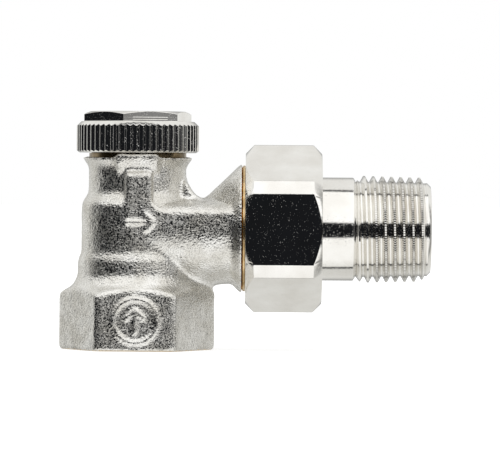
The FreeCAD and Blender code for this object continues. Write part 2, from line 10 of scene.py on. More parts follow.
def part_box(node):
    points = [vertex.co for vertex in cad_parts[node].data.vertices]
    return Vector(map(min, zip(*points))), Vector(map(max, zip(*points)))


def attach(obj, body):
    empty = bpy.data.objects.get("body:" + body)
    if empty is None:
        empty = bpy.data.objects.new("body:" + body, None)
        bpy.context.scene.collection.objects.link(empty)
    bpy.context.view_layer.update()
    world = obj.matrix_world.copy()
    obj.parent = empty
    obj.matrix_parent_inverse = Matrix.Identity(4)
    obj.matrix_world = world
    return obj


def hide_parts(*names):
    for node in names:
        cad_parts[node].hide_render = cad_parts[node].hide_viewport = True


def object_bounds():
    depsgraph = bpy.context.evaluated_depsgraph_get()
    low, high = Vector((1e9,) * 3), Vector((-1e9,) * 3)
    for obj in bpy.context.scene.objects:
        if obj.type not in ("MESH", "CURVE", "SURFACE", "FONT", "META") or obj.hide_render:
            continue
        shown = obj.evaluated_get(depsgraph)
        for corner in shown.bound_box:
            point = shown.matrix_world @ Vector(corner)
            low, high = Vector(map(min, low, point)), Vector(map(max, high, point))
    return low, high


# Looks for an angle-pattern lockshield radiator valve. Shapes are worked out in millimetres in the
# frame's own axes: +Z up the spindle to the screw cap, +X out along the union to the radiator.
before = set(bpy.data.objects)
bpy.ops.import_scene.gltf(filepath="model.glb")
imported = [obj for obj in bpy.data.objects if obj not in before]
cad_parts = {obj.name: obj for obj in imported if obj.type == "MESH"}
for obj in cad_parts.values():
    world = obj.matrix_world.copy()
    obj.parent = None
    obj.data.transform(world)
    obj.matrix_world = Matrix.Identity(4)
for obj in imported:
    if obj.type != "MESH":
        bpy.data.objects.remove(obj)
cad_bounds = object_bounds()

MM = 0.001
CELL = 0.32  # grid pitch of the casting's distance field


def extent(node):
    """Lowest and highest corner of a CAD node, in millimetres."""
    low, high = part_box(node)
    return low / MM, high / MM


body_low, body_high = extent("valve_body")
cap_low, cap_high = extent("screw_cap")
nut_low, nut_high = extent("union_nut")
tail_low, tail_high = extent("tailpiece")

OUTLET = (tail_low.z + tail_high.z) / 2  # height of the branch's axis
CHEST = 11.0  # radius of the chest and of the branch
NECK = 9.6  # radius of the casting's neck
LIP_TOP = 38.0  # where the casting ends under the screw cap
FLANGE_FACE = 20.7  # where the casting ends behind the union nut
SOCKET_DEPTH = 13.0
FINE_PITCH = 1.5  # of the cap's and the union's threads
PIPE_PITCH = 1.814  # 14 threads to the inch
PIPE_CREST, PIPE_ROOT = 10.45, 9.316
NOTCHES = 140  # in each turn of the tail's pipe thread, which hold the sealing hemp; the tail's material paints shade into them
NOTCHES_FROM = 46.5  # nearer the valve than this the crests are plain


# ---------------------------------------------------------------- meshes

def make_object(name, points, faces, crease=18):
    """A mesh object from points in millimetres, welded, with its faces turned outwards."""
    mesh = bpy.data.meshes.new(name)
    mesh.from_pydata((np.asarray(points) * MM).tolist(), [], faces)
    work = bmesh.new()
    work.from_mesh(mesh)
    bmesh.ops.remove_doubles(work, verts=work.verts, dist=1e-6)
    bmesh.ops.dissolve_degenerate(work, edges=work.edges, dist=1e-7)
    bmesh.ops.recalc_face_normals(work, faces=work.faces)
    work.to_mesh(mesh)
    work.free()
    mesh.shade_smooth()
    mesh.set_sharp_from_angle(angle=math.radians(crease))
    shape = bpy.data.objects.new(name, mesh)
    bpy.context.scene.collection.objects.link(shape)
    return shape


def around(count, extra=()):
    """Angles of the columns round an axis, from 0 to a full turn inclusive."""
    even = np.linspace(0, 2 * math.pi, count + 1)
    return np.unique(np.concatenate([even, np.asarray(extra) % (2 * math.pi)]))


def lathe(name, rows, angles, axis, closed=True, crease=18):
    """A surface swept round an axis; a row is a place along it and a radius, fixed or by angle."""
    across, up = np.cos(angles), np.sin(angles)
    grid = np.empty((len(rows), len(angles), 3))
    for row, (place, radius) in zip(grid, rows):
        if axis == "Z":
            row[:, 0], row[:, 1], row[:, 2] = radius * across, radius * up, place
        else:
            row[:, 0], row[:, 1], row[:, 2] = place, radius * across, OUTLET + radius * up
    index = np.arange(grid.shape[0] * grid.shape[1]).reshape(grid.shape[:2])
    if closed:
        index = np.vstack([index, index[:1]])
    quads = np.stack([index[:-1, :-1], index[:-1, 1:], index[1:, 1:], index[1:, :-1]], axis=-1)
    return make_object(name, grid.reshape(-1, 3), quads.reshape(-1, 4).tolist(), crease)


def eased(corners, size=0.12):
    """The same outline with a small round on each corner."""
    rounded = []
    for number, corner in enumerate(corners):
        here = Vector(corner)
        before = Vector(corners[number - 1]) - here
        after = Vector(corners[(number + 1) % len(corners)]) - here
        start = here + before.normalized() * min(size, before.length * 0.4)
        end = here + after.normalized() * min(size, after.length * 0.4)
        rounded += [tuple(start), tuple((start + end + here * 1.4) / 3.4), tuple(end)]
    return rounded


class Thread:
    """A right-hand screw thread of trapezoid form; origin is a place where a crest starts."""

    def __init__(self, pitch, crest, root, crest_width, root_width, origin):
        self.pitch = pitch
        self.crest = crest
        self.root = root
        self.flank = (crest_width / 2, (pitch - root_width) / 2)
        self.origin = origin

    def radius(self, place, turn):
        """Radius at a place along the axis and a share of a turn about it."""
        phase = (place - self.origin) / self.pitch - turn
        off_crest = np.abs(phase - np.round(phase)) * self.pitch
        return np.interp(off_crest, self.flank, (self.crest, self.root))

    def rows(self, start, end, angles, trim):
        """Rows along the helix from start to end; trim gives the final radius at each point."""
        near, far = (width / self.pitch for width in self.flank)
        steps = [-far, -(near + far) / 2, -near, 0, near, (near + far) / 2, far, 0.5]
        turn = angles / (2 * math.pi)
        first = math.floor((start - self.origin) / self.pitch) - 2
        last = math.ceil((end - self.origin) / self.pitch) + 2
        rows = []
        for crest in range(first, last):
            for step in steps:
                place = self.origin + self.pitch * (crest + step + turn)
                place = np.clip(place, start, end)
                rows.append((place, trim(place, self.radius(place, turn))))
        return rows


def external(limits, limit_radii):
    """Trim for an outside thread: it fades out where the limiting outline is lower."""
    return lambda place, radius: np.minimum(radius, np.interp(place, limits, limit_radii))


def internal(limits, limit_radii, gap=0.08):
    """Trim for the mating inside thread, which stands clear of the outside one."""
    return lambda place, radius: np.maximum(radius + gap, np.interp(place, limits, limit_radii))


# ---------------------------------------------------------------- distance fields

def polygon(across, up, corners):
    """Signed distance to a closed outline, negative inside."""
    nearest = np.float32(1e6)
    inside = False
    for (a0, b0), (a1, b1) in zip(corners, corners[1:] + corners[:1]):
        run, rise = a1 - a0, b1 - b0
        da, db = across - np.float32(a0), up - np.float32(b0)
        along = np.clip((da * run + db * rise) / (run * run + rise * rise), 0, 1)
        nearest = np.minimum(nearest, (da - along * run) ** 2 + (db - along * rise) ** 2)
        if rise:
            inside = inside ^ (((b0 > up) != (b1 > up)) & (da < db * (run / rise)))
    return np.where(inside, -1, 1).astype(np.float32) * np.sqrt(nearest)


def stroke(across, up, start, end, width):
    """Signed distance to a round-ended stroke."""
    run, rise = end[0] - start[0], end[1] - start[1]
    da, db = across - start[0], up - start[1]
    along = np.clip((da * run + db * rise) / (run * run + rise * rise), 0, 1)
    return np.hypot(da - along * run, db - along * rise) - width / 2


def smooth_meet(one, other, reach):
    """The part common to both, with its edge rounded over reach."""
    blend = np.clip(0.5 - 0.5 * (other - one) / reach, 0, 1)
    return other + (one - other) * blend + reach * blend * (1 - blend)


def soften(field, passes):
    """Round edges and fill corners alike by averaging the field with its neighbours."""
    for _ in range(passes):
        for axis in range(3):
            field = (np.roll(field, 1, axis) + 2 * field + np.roll(field, -1, axis)) / 4
    return field


def mirrored(corners):
    """An outline given for the negative side, completed with its mirror image."""
    return corners + [(-across, up) for across, up in reversed(corners)]


def inlet_hexagon(x, y, z, from_spindle):
    """The spanner hexagon, with its crown and foot turned off at the corners."""
    flats = [np.abs(x * math.cos(turn) + y * math.sin(turn)) - body_high.y
             for turn in (math.pi / 6, math.pi / 2, math.pi * 5 / 6)]
    corner = 0.3
    sides = smooth_meet(smooth_meet(flats[0], flats[1], corner), flats[2], corner)
    crown = (z - 12.2 + 0.6 * (from_spindle - body_high.y)) / 1.17
    foot = (from_spindle - 15.15 - z) / math.sqrt(2)
    return smooth_meet(smooth_meet(sides, crown, 0.5), foot, 0.4)


def chest_and_neck(z, from_spindle):
    """The round parts about the spindle, from the inlet's crown up to the lip under the cap."""
    return polygon(from_spindle, z, [
        (0, 1), (12.3, 1), (12.9, 12.4), (12.2, 13.7), (11.8, 14.6), (11.6, 17.7),
        (CHEST, 19.2), (CHEST, 28.5), (10.5, 29.6), (NECK + 0.2, 30.5), (NECK, 31.4),
        (NECK, 35.9), (10.1, 36.9), (11.4, LIP_TOP), (0, LIP_TOP),
    ])


def branch(x, y, z, from_outlet):
    """Round underneath, flat in front with a bevel above, and saddle-backed on top."""
    underside = np.maximum(from_outlet - CHEST, z - OUTLET)
    saddle = polygon(y, z, mirrored([
        (-CHEST, OUTLET - 0.5), (-CHEST, OUTLET + 3.3), (-9.8, OUTLET + 4.6),
        (-7.6, OUTLET + 5.2), (-4.5, OUTLET + 5.8),
    ]))
    barrel = np.maximum(np.minimum(underside, saddle), np.abs(x - 9.7) - 9.7)
    flange = polygon(x, from_outlet, [
        (11.5, 0), (12.2, 4.8), (13, 5.6), (20.5, 12.8),
        (FLANGE_FACE + 1, 12.8), (FLANGE_FACE + 1, 0),
    ])
    return np.minimum(barrel, flange)


def ribs_and_webs(x, y, z):
    """The upright bar, the low lug on the lip, and the webs in the corners of the branch."""
    bar_profile = polygon(y, z, mirrored([
        (-CHEST, OUTLET), (-CHEST, 34.6), (-NECK + 0.3, 36.0),
    ]))
    bar = np.maximum(bar_profile, np.abs(x - 0.45) - 2.65)
    lug_profile = polygon(y, z, mirrored([(-9.2, 34.8), (-10.5, 36.6), (-10.9, 38.75)]))
    lug = np.maximum(lug_profile, np.abs(x - 0.2) - 4.2)
    front_web = polygon(x, z, [(2.6, 27), (2.6, 30.6), (3.3, 29.1), (4.4, 28.1), (6.2, 27.2)])
    front_web = np.maximum(front_web, np.abs(y) - CHEST)
    notch_web = polygon(x, z, [
        (8.6, 28.5), (9.4, 34.6), (9.9, 33.2), (10.6, 31.7), (11.6, 30.5), (12.8, 29.9), (14, 29.3),
    ])
    notch_web = np.maximum(notch_web, np.abs(y) - 5.2)
    return np.minimum(np.minimum(bar, lug), np.minimum(front_web, notch_web))


def front_marks(x, y, z):
    """Raised on the front only: a ring with a plain arrow, and a small arrow above it."""
    ring_height, ring_radius, ring_half_width, ring_proud = 5.9, 4.3, 0.42, 0.42
    tip = (0, ring_height + 2.2)
    rise = [((0, ring_height - 2.2), tip)]
    rise += [((side, ring_height + 0.5), tip) for side in (-1.7, 1.7)]
    low = np.abs(np.hypot(x, z - ring_height) - ring_radius) - ring_half_width
    for start, end in rise:
        low = np.minimum(low, stroke(x, z, start, end, 0.8))
    low = np.maximum(low, np.abs(y + body_high.y) - ring_proud)
    arrow_height, arrow_proud = OUTLET + 1.2, 0.45
    tip = (3.5, arrow_height)
    arrow = [((-1.9, arrow_height), tip)]
    arrow += [((1.9, arrow_height + side), tip) for side in (-1.5, 1.5)]
    high = np.float32(1e6)
    for start, end in arrow:
        high = np.minimum(high, stroke(x, z, start, end, 0.75))
    high = np.maximum(high, np.abs(y + CHEST) - arrow_proud)
    return np.minimum(low, high)


def bores(x, z, from_spindle, from_outlet):
    """Room inside for the waterway and for the machined sleeves that line it."""
    spindle_bore = polygon(from_spindle, z, [
        (-1, -2), (10.75, -2), (10.75, SOCKET_DEPTH), (5, SOCKET_DEPTH), (5, 16.8), (5.9, 17),
        (6.5, 17), (6.9, 16), (8.4, 16), (8.4, 28.4), (7, 30.5), (8.8, 30.5), (8.8, 42), (-1, 42),
    ])
    outlet_bore = polygon(x, from_outlet, [
        (0, -1), (0, 4.4), (16, 4.4), (17.2, 6.6), (17.2, 7.7), (24, 7.7), (24, -1),
    ])
    return np.minimum(spindle_bore, outlet_bore)


def casting():
    """The forged body, meshed from one distance field so that its parts flow into each other."""
    margin = CELL * 6
    low = np.array([body_low.x, body_low.y, 0]) - margin
    high = np.array([FLANGE_FACE, body_high.y, LIP_TOP + 1]) + margin
    counts = np.ceil((high - low) / CELL).astype(int)
    x, y, z = (
        (low[axis] + CELL * np.arange(counts[axis])).astype(np.float32).reshape(shape)
        for axis, shape in enumerate([(-1, 1, 1), (1, -1, 1), (1, 1, -1)])
    )
    from_spindle = np.hypot(x, y)
    from_outlet = np.hypot(y, z - OUTLET)
    corner_fillet = 3.0
    hexagon = inlet_hexagon(x, y, z, from_spindle)
    field = -smooth_meet(-hexagon, -branch(x, y, z, from_outlet), corner_fillet)
    field = np.minimum(field, chest_and_neck(z, from_spindle))
    field = np.minimum(field, ribs_and_webs(x, y, z))
    field = soften(field.astype(np.float32), 2)
    seam_half_width, seam_height = 0.35, 0.1
    seam = np.maximum(np.abs(y) - seam_half_width, np.maximum(16 - z, x - 14))
    field = np.where(seam < 0, field - seam_height, field)
    field = soften(np.minimum(field, front_marks(x, y, z)), 1)
    # Flat at the base and the flange; nothing stays at the grid's top, where averaging wraps round.
    field = np.maximum(field, np.maximum(x - FLANGE_FACE, np.maximum(-z, z - LIP_TOP - 1)))
    field = np.maximum(field, -bores(x, z, from_spindle, from_outlet))
    grid = openvdb.FloatGrid(background=3.0)
    grid.copyFromArray(np.ascontiguousarray(field, dtype=np.float32))
    points, triangles, quads = grid.convertToPolygons(isovalue=0.0, adaptivity=0.0)
    points = points * CELL + low
    shape = make_object("casting", points, triangles.tolist() + quads.tolist(), crease=40)
    roughen(shape)
    return shape


def roughen(shape):
    """Slight unevenness of a forged and blasted skin, on the outside only."""
    mesh = shape.data
    normals = np.empty(len(mesh.vertices) * 3)
    mesh.vertex_normals.foreach_get("vector", normals)
    moved = []
    for vertex, normal in zip(mesh.vertices, normals.reshape(-1, 3)):
        place = vertex.co / MM
        if place.z > 0.3 and place.x < FLANGE_FACE - 0.3 and not in_bore(place):
            swell = noise.noise(place * 0.55) * 0.05 + noise.noise(place * 2.4) * 0.03
            place += Vector(normal) * (swell - 0.03)
        moved.append(place * MM)
    mesh.vertices.foreach_set("co", np.array(moved).ravel())
    mesh.update()


def in_bore(place):
    """Whether a point of the casting's skin, in millimetres, lies on a machined inside face."""
    from_spindle = math.hypot(place.x, place.y)
    from_outlet = math.hypot(place.y, place.z - OUTLET)
    if place.z < SOCKET_DEPTH + 0.2:
        return from_spindle < 11
    if place.x > 7 and place.x > place.z - 20 and from_outlet < 5:
        return True
    return from_spindle < 9.1 or (place.x > 15.5 and from_outlet < 7.9)


# ---------------------------------------------------------------- turned and threaded pieces

CAP_THREAD = Thread(FINE_PITCH, crest=10.0, root=9.12, crest_width=0.2, root_width=0.3,
                    origin=cap_low.z)
UNION_THREAD = Thread(FINE_PITCH, crest=12.45, root=11.57, crest_width=0.2, root_width=0.3,
                      origin=nut_low.x)
PIPE_THREAD = Thread(PIPE_PITCH, PIPE_CREST, PIPE_ROOT, crest_width=0.34, root_width=0.26,
                     origin=tail_high.x - 13.19 - PIPE_PITCH / 4)
SOCKET_THREAD = Thread(PIPE_PITCH, PIPE_ROOT, PIPE_CREST, crest_width=0.4, root_width=0.3,
                       origin=1.0)


def neck_sleeve():
    """The machined neck: plain land, the thread for the screw cap, and the insert's bore."""
    angles = around(160)
    top = body_high.z
    land, thread_start = 9.6, 38.8
    rows = eased([(30.6, 8.9), (37.8, 8.9), (37.8, land), (thread_start, land)])
    trim = external((thread_start, 39.2, top - 0.8, top), (land, 10.2, 10.2, 9.2))
    rows += CAP_THREAD.rows(thread_start, top, angles, trim)
    rows += eased([(top, 9.1), (top, 7.5), (34.5, 7.5), (34.5, 6.95), (30.6, 6.95)], 0.1)
    return lathe("neck_sleeve", rows, angles, "Z")


def union_sleeve():
    """The machined end of the branch: collar, union thread and the tail's nose bore."""
    angles = around(192)
    end = body_high.x
    rows = eased([
        (end, 9.7), (end - 0.4, 9.3), (25.5, 9.3), (25.5, 6.6), (17.25, 6.6), (17.25, 7.8),
        (FLANGE_FACE - 0.05, 7.8), (FLANGE_FACE - 0.05, 11.95), (FLANGE_FACE + 0.25, 12.45),
        (FLANGE_FACE + 0.6, 12.45),
    ], 0.08)
    start = FLANGE_FACE + 0.62
    trim = external((start, start + 0.3, end - 0.9, end), (12.45, 12.6, 12.6, 11.6))
    rows += UNION_THREAD.rows(start, end, angles, trim)
    return lathe("union_sleeve", rows, angles, "X")


def socket_sleeve():
    """The female pipe thread cut in the inlet, with its mouth chamfer."""
    angles = around(168)
    outside = 10.9
    rows = [(0.03, outside), (0.03, 10.72), (0.2, 10.5)]
    trim = internal((0.2, 1.3, 11.6, SOCKET_DEPTH), (10.5, 9.3, 9.3, 10.3), gap=0)
    rows += SOCKET_THREAD.rows(0.2, SOCKET_DEPTH - 0.4, angles, trim)
    rows += [(SOCKET_DEPTH - 0.1, PIPE_CREST), (SOCKET_DEPTH - 0.1, outside)]
    return lathe("socket_sleeve", rows, angles, "Z")


def screw_cap():
    """The closing cap: knurled rim, chamfered hexagon, and the thread and gasket seat inside."""
    knurls, knurl_depth = 60, 0.3
    rim, half_flats = 12.1, 9.5
    hexagon_turn = math.radians(16.25)
    corners = hexagon_turn + np.arange(6) * math.pi / 3
    angles = around(knurls * 12, corners)
    knurl = rim - knurl_depth * (0.5 - 0.5 * np.cos(angles * knurls)) ** 1.3
    off_flat = (angles - hexagon_turn) % (math.pi / 3) - math.pi / 6
    hexagon = half_flats / np.cos(off_flat)
    crown_drop = (hexagon - 9.3) * 0.34
    foot, shoulder, top = cap_low.z, cap_high.z - 2.0, cap_high.z
    thread_start, thread_end = foot + 0.25, 43.2
    rows = [(44.95, 0.0), (44.95, 7.15), (44.8, 7.3), (44.35, 7.3), (44.35, 10.25), (43.3, 10.25)]
    trim = internal((thread_start, foot + 1.0, thread_end), (10.2, 9.3, 9.3))
    rows += CAP_THREAD.rows(thread_start, thread_end, angles, trim)[::-1]
    rows += [(foot, 10.45), (foot, 11.45), (foot + 0.05, 11.6)]
    rows += [(39.3 - (rim - knurl) * 0.9, knurl), (44.1 + (rim - knurl), knurl)]
    rows += [(shoulder - 0.08, 11.28), (shoulder, 11.15)]
    rows += [(shoulder, hexagon + 0.07), (shoulder + 0.07, hexagon), (shoulder + 0.09, hexagon)]
    for groove in (0.36, 0.8):  # two fine tool marks round the hexagon
        profile = ((-0.07, 0), (-0.06, 0), (0, 0.016), (0.06, 0), (0.07, 0))
        rows += [(shoulder + groove + up, hexagon - deep) for up, deep in profile]
    rows += [(top - crown_drop - 0.08, hexagon), (top - crown_drop - 0.06, hexagon)]
    rows += [(top - crown_drop + 0.02, hexagon - 0.07)]
    rows += [(top - 0.04, 9.42), (top, 9.25), (top, 7.0), (top - 0.12, 6.85), (top - 0.12, 0.0)]
    return lathe("knurled_cap", rows, angles, "Z", closed=False, crease=28)


def union_nut():
    """The hexagonal union nut: corners turned down, ends chamfered, threaded inside."""
    flat, corner, face = nut_high.y, 16.55, 14.85  # radii
    start, end = nut_low.x, nut_high.x
    thread_start, thread_end = start + 0.35, 31
    edge = math.acos(flat / corner)
    edges = [side * math.pi / 3 + sign * edge for side in range(6) for sign in (-1, 1)]
    steps = np.linspace(-0.012, 0.012, 5)
    angles = around(180, [place + step for place in edges for step in steps])
    off_flat = (angles + math.pi / 6) % (math.pi / 3) - math.pi / 6
    outer = -smooth_meet(-flat / np.cos(off_flat), -corner, 0.08)
    bevel = outer - face
    rows = [(end, face - 0.1), (end - 0.05, face + 0.02)]
    rows += [(end - bevel + 0.07, outer - 0.08), (end - bevel - 0.07, outer)]
    rows += [(start + bevel + 0.07, outer), (start + bevel - 0.07, outer - 0.08)]
    rows += [(start + 0.05, face + 0.02), (start, face - 0.1), (start, 12.95)]
    trim = internal((thread_start, start + 1.2, thread_end), (12.6, 11.7, 11.7))
    rows += UNION_THREAD.rows(thread_start, thread_end, angles, trim)
    rows += eased([(31.1, 12.6), (32, 12.6), (32, 10.6), (end - 0.25, 10.6), (end, 10.85)], 0.08)
    return lathe("hexagon_nut", rows, angles, "X")


def tail():
    """The tailpiece: sealing nose, collar, plain barrel, serrated pipe thread, key lugs inside."""
    angles = around(NOTCHES * 4)
    start, end = tail_low.x, tail_high.x
    notch = 0.5 - 0.5 * np.cos(angles * NOTCHES)
    bore, lug_height, lug_half_width, lug_flank = 7.5, 1.1, 0.19, 0.03  # the last two in radians
    off_lug = np.abs((angles + math.pi / 2) % math.pi - math.pi / 2)
    lug_bore = bore - lug_height * np.clip((lug_half_width - off_lug) / lug_flank, 0, 1)
    thread_start, thread_end = 43.15, 56.85

    def trim(place, radius):
        radius = radius - (place - 50) / 45  # the taper
        limit = np.interp(place, (thread_start, 44.4, 56.0, thread_end), (9.32, 10.8, 10.8, 9.2))
        radius = np.minimum(radius, limit)
        depth = 0.06 * np.clip((place - NOTCHES_FROM) / 1.5, 0, 1)
        depth = depth * np.clip((radius - 10.0) / 0.2, 0, 1)
        return radius - depth * notch

    rows = eased([
        (start, 7.6), (start, 9.0), (start + 0.2, 9.22), (26.5, 9.22), (26.5, 8.12), (27.7, 8.12),
        (27.7, 9.22), (28.7, 9.22), (28.7, 11.9), (31.9, 11.9), (31.9, 10.2), (42.7, 10.2),
        (thread_start - 0.02, 9.5),
    ])
    rows += PIPE_THREAD.rows(thread_start, thread_end, angles, trim)
    rows += eased([(56.95, 9.2), (end - 0.7, 9.2), (end, 8.5), (end, 7.6), (end - 0.2, bore)], 0.08)
    rows += [(56.2, bore), (56.0, lug_bore), (45.2, lug_bore), (45.0, bore), (start + 0.15, bore)]
    return lathe("threaded_tail", rows, angles, "X")


# ---------------------------------------------------------------- materials

class Nodes:
    """Short ways to add and join the shader nodes of one material."""

    def __init__(self, tree):
        self.tree = tree
        self.tree.nodes.clear()

    def add(self, kind, **settings):
        node = self.tree.nodes.new(kind)
        for name, value in settings.items():
            setattr(node, name, value)
        return node

    def join(self, source, target):
        self.tree.links.new(source, target)

    def noise(self, place, scale, detail=2.0, roughness=0.5):
        node = self.add("ShaderNodeTexNoise")
        node.inputs["Scale"].default_value = scale
        node.inputs["Detail"].default_value = detail
        node.inputs["Roughness"].default_value = roughness
        self.join(place, node.inputs["Vector"])
        return node.outputs["Fac"]

    def ramp(self, source, stops):
        node = self.add("ShaderNodeValToRGB")
        self.join(source, node.inputs["Fac"])
        while len(node.color_ramp.elements) < len(stops):
            node.color_ramp.elements.new(0.5)
        for element, (position, colour) in zip(node.color_ramp.elements, stops):
            element.position = position
            element.color = (*colour, 1)
        return node.outputs["Color"]

    def span(self, source, low, high, from_low=0.3, from_high=0.7):
        node = self.add("ShaderNodeMapRange")
        self.join(source, node.inputs["Value"])
        for name, value in zip(("From Min", "From Max", "To Min", "To Max"),
                               (from_low, from_high, low, high)):
            node.inputs[name].default_value = value
        return node.outputs["Result"]

    def calc(self, operation, *sources):
        node = self.add("ShaderNodeMath", operation=operation)
        for socket, source in zip(node.inputs, sources):
            if isinstance(source, (int, float)):
                socket.default_value = source
            else:
                self.join(source, socket)
        return node.outputs["Value"]

    def bump(self, height, depth, under=None):
        node = self.add("ShaderNodeBump")
        node.inputs["Distance"].default_value = depth
        self.join(height, node.inputs["Height"])
        if under is not None:
            self.join(under, node.inputs["Normal"])
        return node.outputs["Normal"]


def start_material(name, metallic):
    """A new material with its node helper, its shader and the place of each point on the piece."""
    material = bpy.data.materials.new(name)
    material.use_nodes = True
    nodes = Nodes(material.node_tree)
    shader = nodes.add("ShaderNodeBsdfPrincipled")
    shader.inputs["Metallic"].default_value = metallic
    output = nodes.add("ShaderNodeOutputMaterial")
    nodes.join(shader.outputs["BSDF"], output.inputs["Surface"])
    place = nodes.add("ShaderNodeTexCoord").outputs["Object"]
    return material, nodes, shader, place


def cast_nickel():
    """Blasted and nickel-plated forging: coarse sparkle, warm stains in patches."""
    material, nodes, shader, place = start_material("cast_nickel", 1.0)
    patches = nodes.noise(place, scale=260, detail=4)
    colour = nodes.ramp(patches, [(0.3, (0.62, 0.60, 0.55)), (0.7, (0.80, 0.79, 0.76))])
    nodes.join(colour, shader.inputs["Base Color"])
    grain = nodes.noise(place, scale=2600, detail=1.5)
    coarse = nodes.noise(place, scale=1100, detail=1)
    blasting = nodes.noise(place, scale=3500, detail=0)
    shine = nodes.span(blasting, 0.15, 0.44, from_low=0.42, from_high=0.6)
    nodes.join(shine, shader.inputs["Roughness"])
    relief = nodes.bump(coarse, depth=4e-5)
    nodes.join(nodes.bump(grain, depth=13e-5, under=relief), shader.inputs["Normal"])
    return material


def turned_nickel(name, axis, serrated=False):
    """Machined and plated: nearly a mirror, with faint tool rings about its axis."""
    material, nodes, shader, place = start_material(name, 1.0)
    patches = nodes.noise(place, scale=180, detail=3)
    colour = nodes.ramp(patches, [(0.3, (0.76, 0.74, 0.70)), (0.7, (0.86, 0.85, 0.82))])
    # the serrated tail gets painted shade in the notches of its crests
    if serrated:
        colour = notch_painted_shade(nodes, place, colour)
    nodes.join(colour, shader.inputs["Base Color"])
    speckle = nodes.noise(place, scale=2200, detail=3, roughness=0.7)
    nodes.join(nodes.span(speckle, 0.05, 0.11), shader.inputs["Roughness"])
    split = nodes.add("ShaderNodeSeparateXYZ")
    nodes.join(place, split.inputs["Vector"])
    if axis == "X":
        along = split.outputs["X"]
    else:
        across = nodes.calc("MULTIPLY", split.outputs["X"], split.outputs["X"])
        deep = nodes.calc("MULTIPLY", split.outputs["Y"], split.outputs["Y"])
        along = nodes.calc("SQRT", nodes.calc("ADD", across, deep))
    rings_per_metre = 42000.0  # in radians
    wander = nodes.calc("MULTIPLY", nodes.noise(place, scale=90), 2.0)
    turned = nodes.calc("MULTIPLY", along, rings_per_metre)
    rings = nodes.calc("SINE", nodes.calc("ADD", turned, wander))
    tooled = nodes.bump(rings, depth=4e-7)
    pits = nodes.noise(place, scale=4200, detail=1)
    pits = nodes.span(pits, 0, 1, from_low=0.64, from_high=0.76)
    pitted = nodes.bump(pits, depth=1e-5, under=tooled)
    nodes.join(nodes.bump(speckle, depth=4e-6, under=pitted), shader.inputs["Normal"])
    return material


def notch_painted_shade(nodes, place, unshaded_colour):
    """Painted shade: a darker base colour in the notches of the tail's crests."""
    split = nodes.add("ShaderNodeSeparateXYZ")
    nodes.join(place, split.inputs["Vector"])
    across = split.outputs["Y"]
    up = nodes.calc("SUBTRACT", split.outputs["Z"], OUTLET * MM)
    wave = nodes.calc("COSINE", nodes.calc("MULTIPLY", nodes.calc("ARCTAN2", up, across), NOTCHES))
    out = nodes.calc("SQRT", nodes.calc("ADD", nodes.calc("MULTIPLY", across, across),
                                        nodes.calc("MULTIPLY", up, up)))
    crest = nodes.span(out, 0, 1, from_low=9.9 * MM, from_high=10.05 * MM)
    notched = nodes.span(split.outputs["X"], 0, 1, from_low=NOTCHES_FROM * MM,
                         from_high=(NOTCHES_FROM + 1) * MM)
    hollow = nodes.span(wave, 1, 0, from_low=-0.8, from_high=0.2)
    painted_shade = nodes.calc("MULTIPLY", nodes.calc("MULTIPLY", crest, notched), hollow)
    mix = nodes.add("ShaderNodeMix", data_type="RGBA")
    nodes.join(painted_shade, mix.inputs["Factor"])
    nodes.join(unshaded_colour, mix.inputs["A"])
    # the colour of the painted shade in the notches
    mix.inputs["B"].default_value = (0.16, 0.15, 0.13, 1)
    return mix.outputs["Result"]


def bare_brass(name, dull, bright):
    """Brass left bare where it was cut after plating, tarnished in patches; darker colours given to
    it paint shade on the piece.
    """
    material, nodes, shader, place = start_material(name, 1.0)
    tarnish = nodes.noise(place, scale=420, detail=4)
    colour = nodes.ramp(tarnish, [(0.3, dull), (0.65, bright)])
    nodes.join(colour, shader.inputs["Base Color"])
    nodes.join(nodes.span(tarnish, 0.38, 0.2), shader.inputs["Roughness"])
    nodes.join(nodes.bump(nodes.noise(place, scale=2600), depth=8e-6), shader.inputs["Normal"])
    return material


def black_rubber():
    """Sealing rings and gaskets, faintly dusty."""
    material, nodes, shader, place = start_material("black_rubber", 0.0)
    dust = nodes.noise(place, scale=900, detail=4)
    colour = nodes.ramp(dust, [(0.35, (0.012, 0.012, 0.013)), (0.75, (0.035, 0.035, 0.036))])
    nodes.join(colour, shader.inputs["Base Color"])
    nodes.join(nodes.span(dust, 0.5, 0.75), shader.inputs["Roughness"])
    nodes.join(nodes.bump(nodes.noise(place, scale=4000), depth=1e-5), shader.inputs["Normal"])
    return material


def spring_steel():
    """The retaining ring, dark and lightly oiled."""
    material, nodes, shader, place = start_material("spring_steel", 1.0)
    oil = nodes.noise(place, scale=700, detail=4)
    colour = nodes.ramp(oil, [(0.3, (0.30, 0.30, 0.32)), (0.7, (0.50, 0.50, 0.52))])
    nodes.join(colour, shader.inputs["Base Color"])
    nodes.join(nodes.span(oil, 0.25, 0.45), shader.inputs["Roughness"])
    nodes.join(nodes.bump(nodes.noise(place, scale=5000), depth=8e-6), shader.inputs["Normal"])
    return material


# ---------------------------------------------------------------- putting the object together

def place_piece(shape, body, materials, replaced=None):
    """Give a piece its materials and fix it to its CAD body."""
    for material in materials:
        shape.data.materials.append(material)
    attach(shape, body)
    if replaced:
        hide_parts(replaced)


def repaint(node, material):
    """Keep a CAD node and give it a finished material."""
    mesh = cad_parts[node].data
    mesh.materials.clear()
    mesh.materials.append(material)
    mesh.shade_smooth()
    mesh.set_sharp_from_angle(angle=math.radians(30))


brass = bare_brass("bare_brass", dull=(0.46, 0.31, 0.13), bright=(0.80, 0.61, 0.35))
# A darker copy of the brass: painted shade for the neck sleeve, down in its slot between the
# casting's lip and the screw cap.
brass_painted_shade = bare_brass("brass_painted_shade", dull=(0.10, 0.07, 0.03), bright=(0.26, 0.20, 0.12))
rubber = black_rubber()
nickel_on_z = turned_nickel("bright_nickel_cap", "Z")
nickel_on_x = turned_nickel("bright_nickel_union", "X")
# the tail's material paints shade into the notches of its crests
nickel_on_tail = turned_nickel("bright_nickel_tail", "X", serrated=True)

